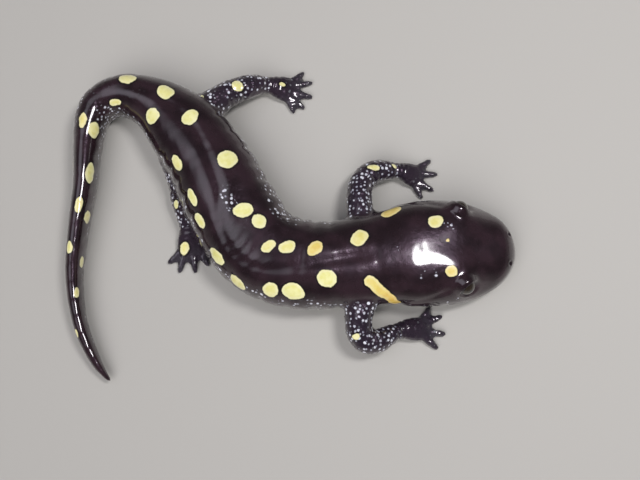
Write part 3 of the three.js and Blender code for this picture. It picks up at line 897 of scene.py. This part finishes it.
store(skin.data, "spot_gap", spot_gap)
store(skin.data, "spot_tint", spot_tint)
store(skin.data, "grain", grain)
store(skin.data, "underside", np.clip(underside, 0, 1))
store(skin.data, "leg", leg_share)
store(skin.data, "fan", fan)
store(skin.data, "fan_share", fan_share)
# The mask of painted glints, for the material.
store(skin.data, "glitter", np.clip(glitter, 0, 1))
# Painted shade along the shut mouth and in the nostrils.
store(skin.data, "mouth", lip_share * bell(lip_gap, width=0.22) + bell(nostril, width=0.3))

# ---------- skin: finish
# Purplish black, smooth and glossy on the back and grainy on the flanks and legs, under a film of
# water.  The belly fades to slate with pale flecks.
GROUND_DARK = (0.0120, 0.0055, 0.0072, 1)
GROUND_PALE = (0.026, 0.0125, 0.0170, 1)
LEG_TINGE = (0.028, 0.021, 0.036, 1)
SLATE = (0.045, 0.040, 0.050, 1)
FLECK = (0.30, 0.31, 0.34, 1)
BLACK = (0.004, 0.003, 0.004, 1)  # round each marking, and as painted shade between the lips and in the nostrils
YELLOW_DEEP = (0.84, 0.80, 0.29, 1)
YELLOW_PALE = (0.93, 0.90, 0.45, 1)
ORANGE_DEEP = (0.80, 0.46, 0.035, 1)
ORANGE_PALE = (0.86, 0.60, 0.10, 1)
BORDER_PALE = (0.92, 0.88, 0.60, 1)  # just inside each marking's edge
# Painted glints: pale dots, dim to bright, that stand for highlights off wet granules.
GLINT_DIM = (0.20, 0.20, 0.27, 1)
GLINT_BRIGHT = (0.90, 0.91, 1.0, 1)
WATER_FILM = {
    "Coat Weight": 1.0, "Coat Roughness": 0.08, "Coat IOR": 1.6,
    "Specular IOR Level": 0.30, "Specular Tint": (0.80, 0.58, 0.80, 1),
}
ROUGHNESS = (0.22, 0.33)  # of the skin under the film, from its smoothest to its dullest
EDGE_WAVER = 0.8  # how far a marking's edge wanders
EDGE_BLUR = 0.09  # half the width over which a marking meets the ground
RING = (0.55, 0.15)  # outside the edge, where the black round a marking starts and is full
BORDER = (-0.75, -0.30)  # the same for the pale border inside the edge
BORDER_SHARES = (0.45, 0.18)  # how pale it is on yellow and on orange
RING_DARKNESS = 0.9
# How dark the painted shade in the mouth's slit and the nostrils is.
MOUTH_SHADE = 0.8
LEG_TINGE_SHARE = 0.55
BACK_FLECKS = 0.25  # how much rough skin above shares in the belly's flecks
RAGGEDNESS = 0.34  # how uneven a painted glint's outline is
UNEVENNESS = 0.20  # how much painted glints differ in size
FAN_CREASES = 3.6  # radians of crease to a millimetre along the bend
# Heights of the finest relief.
GRAIN_RISE = 0.13
PORE_RISE = 0.010
CREASE_RISE = 0.05
SLACK_RISE = 0.05
RIPPLE_RISE = 0.014
MARKING_RISE = 0.02

# Skin and eyes are both mottled by this group: smooth noise about a half, in blotches.
mottling = bpy.data.node_groups.new("mottling", "ShaderNodeTree")
for name, way, kind in (
        ("Place", "INPUT", "Vector"), ("Scale", "INPUT", "Float"),
        ("Detail", "INPUT", "Float"), ("Shade", "OUTPUT", "Float")):
    mottling.interface.new_socket(name, in_out=way, socket_type="NodeSocket" + kind)
asked = add(mottling, "NodeGroupInput").outputs
blotches = add(mottling, "ShaderNodeTexNoise",
               {"Vector": asked["Place"], "Scale": asked["Scale"], "Detail": asked["Detail"]})
add(mottling, "NodeGroupOutput", {"Shade": blotches.outputs["Fac"]})


def mottle(tree, place, size, detail=2.0):
    """A shade about a half, in blotches of that size in millimetres."""
    values = {"Place": place, "Scale": 1 / size, "Detail": detail}
    return add(tree, "ShaderNodeGroup", values, node_tree=mottling).outputs["Shade"]


def cells(tree, place, to_a_mm, **inputs):
    """A pattern of round cells, that many to a millimetre.  Given a smoothness, they run together."""
    inputs = {"Vector": place, "Scale": to_a_mm, **inputs}
    feature = "SMOOTH_F1" if "Smoothness" in inputs else "F1"
    return add(tree, "ShaderNodeTexVoronoi", inputs, feature=feature).outputs


def calc(tree, operation, a, b=0.0, clamp=False):
    return add(tree, "ShaderNodeMath", {0: a, 1: b}, operation=operation, use_clamp=clamp).outputs[0]


def times(tree, a, b, clamp=False):
    return calc(tree, "MULTIPLY", a, b, clamp)


def plus(tree, a, b, clamp=False):
    return calc(tree, "ADD", a, b, clamp)


def minus(tree, a, b):
    return calc(tree, "SUBTRACT", a, b)


def mapped(tree, value, low, high, to_low=0.0, to_high=1.0):
    """Value taken from one range to another, smoothly and never past its ends."""
    return add(tree, "ShaderNodeMapRange",
               {"Value": value, "From Min": low, "From Max": high, "To Min": to_low, "To Max": to_high},
               interpolation_type="SMOOTHSTEP").outputs["Result"]


def mixed(tree, share, first, second):
    """A colour between two, by the share of the second."""
    factor, colour_a, colour_b, result = 0, 6, 7, 2  # the node's sockets when it mixes colours
    inputs = {factor: share, colour_a: first, colour_b: second}
    return add(tree, "ShaderNodeMix", inputs, data_type="RGBA").outputs[result]


def stored(tree, name):
    """What store put on the mesh under a name."""
    return add(tree, "ShaderNodeAttribute", attribute_name=name).outputs["Fac"]


def place_on_piece(tree):
    """The place on the piece in millimetres."""
    metres = add(tree, "ShaderNodeTexCoord").outputs["Object"]
    return add(tree, "ShaderNodeVectorMath", {0: metres, "Scale": 1 / MM}, operation="SCALE").outputs[0]


paint, shader, tree = new_material("wet_skin", WATER_FILM)
place = place_on_piece(tree)
belly = stored(tree, "underside")
rough = stored(tree, "grain")
tint = stored(tree, "spot_tint")

waver = times(tree, minus(tree, mottle(tree, place, size=1.6), 0.5), EDGE_WAVER)
edge = plus(tree, stored(tree, "spot_gap"), waver)
spot = mapped(tree, edge, EDGE_BLUR, -EDGE_BLUR)
ring = mapped(tree, edge, *RING)
border = mapped(tree, edge, *BORDER)

# The ground: two blacks in blotches, a bluer tinge on the legs, slate below, pale flecks, black round
# the markings, and painted shade in the mouth and nostrils.
ground_shade = mapped(tree, mottle(tree, place, size=4.5), low=0.35, high=0.65)
ground = mixed(tree, ground_shade, GROUND_DARK, GROUND_PALE)
ground = mixed(tree, times(tree, stored(tree, "leg"), LEG_TINGE_SHARE), ground, LEG_TINGE)
slate_share = times(tree, belly, mapped(tree, mottle(tree, place, size=2.2), low=0.2, high=0.6))
ground = mixed(tree, slate_share, ground, SLATE)
fleck = mapped(tree, cells(tree, place, to_a_mm=0.85)["Distance"], low=0.26, high=0.14)
fleck = times(tree, fleck, mapped(tree, mottle(tree, place, size=3.0), low=0.50, high=0.60))
fleck = times(tree, fleck, plus(tree, belly, times(tree, rough, BACK_FLECKS), clamp=True))
ground = mixed(tree, fleck, ground, FLECK)
ground = mixed(tree, times(tree, ring, RING_DARKNESS), ground, BLACK)
# Painted shade in the mouth's slit and the nostrils.
ground = mixed(tree, times(tree, stored(tree, "mouth"), MOUTH_SHADE, clamp=True), ground, BLACK)

# The markings, paler along their edge.
yellow_shade = mapped(tree, mottle(tree, place, size=1.3, detail=4.0), low=0.3, high=0.7)
orange_shade = mapped(tree, mottle(tree, place, size=1.0, detail=4.0), low=0.3, high=0.7)
yellow = mixed(tree, yellow_shade, YELLOW_DEEP, YELLOW_PALE)
orange = mixed(tree, orange_shade, ORANGE_DEEP, ORANGE_PALE)
marking = mixed(tree, tint, yellow, orange)
border_share = times(tree, border, mapped(tree, tint, 0, 1, *BORDER_SHARES))
marking = mixed(tree, border_share, marking, BORDER_PALE)
colour = mixed(tree, spot, ground, marking)

# Painted glints: pale dots of uneven size and brightness for the shine off wet granules, on the ground
# alone.
glint_cells = cells(tree, place, to_a_mm=1.15, Randomness=0.75)
glint_gap = plus(tree, glint_cells["Distance"], times(tree, mottle(tree, place, size=0.45), RAGGEDNESS))
glint_gap = minus(tree, glint_gap, times(tree, glint_cells["Color"], UNEVENNESS))
glints_strewn = plus(tree, stored(tree, "glitter"), mottle(tree, place, size=1.8))
glint_share = times(tree, mapped(tree, glint_gap, low=0.46, high=0.26),
                      mapped(tree, glints_strewn, low=0.80, high=0.95))
glint_share = times(tree, glint_share, minus(tree, 1.0, spot))
glint_shade = mixed(tree, glint_cells["Color"], GLINT_DIM, GLINT_BRIGHT)
colour = mixed(tree, glint_share, colour, glint_shade)
tree.links.new(colour, shader.inputs["Base Color"])
roughness = mapped(tree, mottle(tree, place, size=3.5), 0.3, 0.7, *ROUGHNESS)
tree.links.new(roughness, shader.inputs["Roughness"])

# Relief: grains where the skin is rough, creases across the bend, pores and slack all over, and
# markings that stand a little proud.
grain_cells = cells(tree, place, to_a_mm=0.92, Smoothness=0.5)["Distance"]
grain_rise = times(tree, mapped(tree, grain_cells, low=0.75, high=0.05), times(tree, rough, GRAIN_RISE))
crease_phase = times(tree, plus(tree, stored(tree, "fan"), mottle(tree, place, size=1.1)), FAN_CREASES)
crease = calc(tree, "ABSOLUTE", calc(tree, "SINE", crease_phase))
crease = times(tree, crease, times(tree, stored(tree, "fan_share"), CREASE_RISE))
pores = times(tree, cells(tree, place, to_a_mm=3.2, Smoothness=0.4)["Distance"], PORE_RISE)
slack = plus(tree, times(tree, mottle(tree, place, size=2.4, detail=3.0), SLACK_RISE),
             times(tree, mottle(tree, place, size=0.9), RIPPLE_RISE))
coarse = plus(tree, plus(tree, grain_rise, crease), pores)
fine = plus(tree, slack, times(tree, spot, MARKING_RISE))
relief = plus(tree, coarse, fine)
bump = add(tree, "ShaderNodeBump", {"Height": relief, "Distance": MM, "Strength": 1.0})
tree.links.new(bump.outputs["Normal"], shader.inputs["Normal"])

skin.data.materials.append(paint)
select_only(skin)
bpy.ops.object.shade_smooth()
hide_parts(*[name for name in parts if name not in EYE_NODES])
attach(skin, "root")

# ---------- eyes
# Each eye is a dark ball with a clear cornea that stands a little proud, an almost black brown iris
# and a round pupil.  It sits behind the rim of its lids.
BALL_SEGMENTS = 48
BALL_RINGS = 32
CORNEA_RISE = 0.20  # how far the cornea stands proud in its middle
CORNEA_SPREAD = 30  # in degrees round the ball, like the next two
PUPIL_EDGE = (17, 20)
IRIS_EDGE = (46, 52)
PUPIL_BLACK = (0.001, 0.001, 0.001, 1)
IRIS_DARK = (0.012, 0.008, 0.006, 1)
IRIS_BROWN = (0.075, 0.045, 0.020, 1)
BALL_BLACK = (0.006, 0.005, 0.007, 1)
WET_BALL = {"Roughness": 0.12, "Coat Weight": 1.0, "Coat Roughness": 0.02}

eye_paint, eye_shader, eye_tree = new_material("dark_eye", WET_BALL)
off_axis = stored(eye_tree, "off_axis")
iris_shade = mottle(eye_tree, place_on_piece(eye_tree), size=0.12, detail=4.0)
iris = mixed(eye_tree, mapped(eye_tree, iris_shade, low=0.45, high=0.75), IRIS_DARK, IRIS_BROWN)
eye_colour = mixed(eye_tree, mapped(eye_tree, off_axis, *PUPIL_EDGE), PUPIL_BLACK, iris)
eye_colour = mixed(eye_tree, mapped(eye_tree, off_axis, *IRIS_EDGE), eye_colour, BALL_BLACK)
eye_tree.links.new(eye_colour, eye_shader.inputs["Base Color"])

for node in EYE_NODES:
    centre, gaze, _, _ = eye_frame(node)
    bpy.ops.object.select_all(action="DESELECT")
    bpy.ops.mesh.primitive_uv_sphere_add(
        segments=BALL_SEGMENTS, ring_count=BALL_RINGS, radius=EYE_RADIUS * MM,
        location=Vector(centre) * MM, rotation=Vector(gaze).to_track_quat("Z", "Y").to_euler())
    ball = bpy.context.object
    ball.name = "ball_" + node
    bpy.ops.object.transform_apply()
    ball_points = points_of(ball.data)
    rays = (ball_points - centre) / lengths(ball_points - centre)[:, None]
    off_gaze = np.degrees(np.arccos(np.clip(rays @ gaze, -1, 1)))
    place_points(ball.data, ball_points + CORNEA_RISE * bell(off_gaze, CORNEA_SPREAD)[:, None] * rays)
    store(ball.data, "off_axis", off_gaze)
    bpy.ops.object.shade_smooth()
    ball.data.materials.append(eye_paint)
    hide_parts(node)
    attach(ball, "root")
